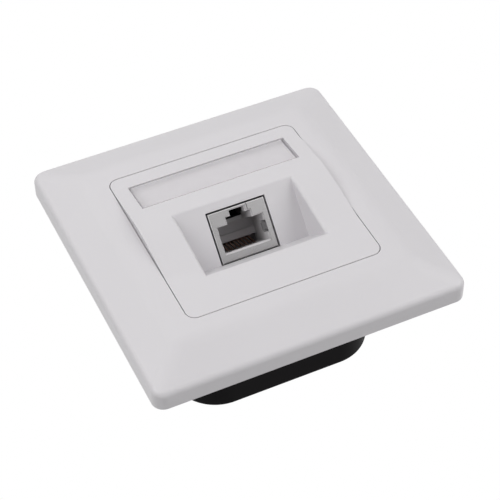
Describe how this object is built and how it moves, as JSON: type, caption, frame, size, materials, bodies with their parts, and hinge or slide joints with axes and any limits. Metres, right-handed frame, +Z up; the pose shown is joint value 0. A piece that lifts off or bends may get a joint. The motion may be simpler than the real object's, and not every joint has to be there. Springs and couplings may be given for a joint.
{
  "type": "ethernet wall socket",
  "caption": "Flush network wall socket: white square frame, plate with roof-shaped top, label field and slanted shielded jack, black housing that goes into the wall.",
  "frame": {"origin": "middle of the wall plane, at the middle between the two slots for the wall box's screws", "axes": "+Z up the wall, -Y out of the wall towards the viewer, +X to the right as seen from the front"},
  "size_m": [0.08, 0.0377, 0.08],
  "materials": {
    "white_plastic": "smooth white moulded plastic, silk gloss",
    "clear_plastic": "clear moulded plastic strip",
    "label_paper": "blank matt white paper",
    "zinc_steel": "zinc-plated steel sheet",
    "black_plastic": "matt black moulded plastic",
    "black_rubber": "soft black rubber",
    "screw_steel": "zinc-plated steel",
    "shield_metal": "nickel-plated sheet metal",
    "jack_plastic": "off-white moulded plastic",
    "carrier_plastic": "grey moulded plastic",
    "contact_metal": "gold-plated bronze",
    "board_laminate": "green solder resist on laminate",
    "terminal_plastic": "off-white moulded plastic",
    "fork_metal": "tin-plated bronze"
  },
  "bodies": {
    "socket": {"cover_frame": "white_plastic", "centre_plate": "white_plastic", "label_card": "label_paper", "support_plate": "zinc_steel", "rear_housing": "black_plastic", "cable_grommet": "black_rubber", "housing_screws": "screw_steel", "board_screws": "screw_steel", "jack_shield": "shield_metal", "jack_body": "jack_plastic", "contact_carrier": "carrier_plastic", "jack_contacts": "contact_metal", "circuit_board": "board_laminate", "shield_clip": "shield_metal", "idc_block_left": "terminal_plastic", "idc_block_right": "terminal_plastic", "idc_forks_left": "fork_metal", "idc_forks_right": "fork_metal"},
    "label_window": {"label_window": "clear_plastic"}
  },
  "joints": [
    {"name": "label_window_hinge", "type": "hinge", "parent": "socket", "child": "label_window", "pos_m": [-0.02025, -0.00857, 0.01625], "axis": [0, -0.134, -0.991], "range_deg": [0, 30]}
  ]
}
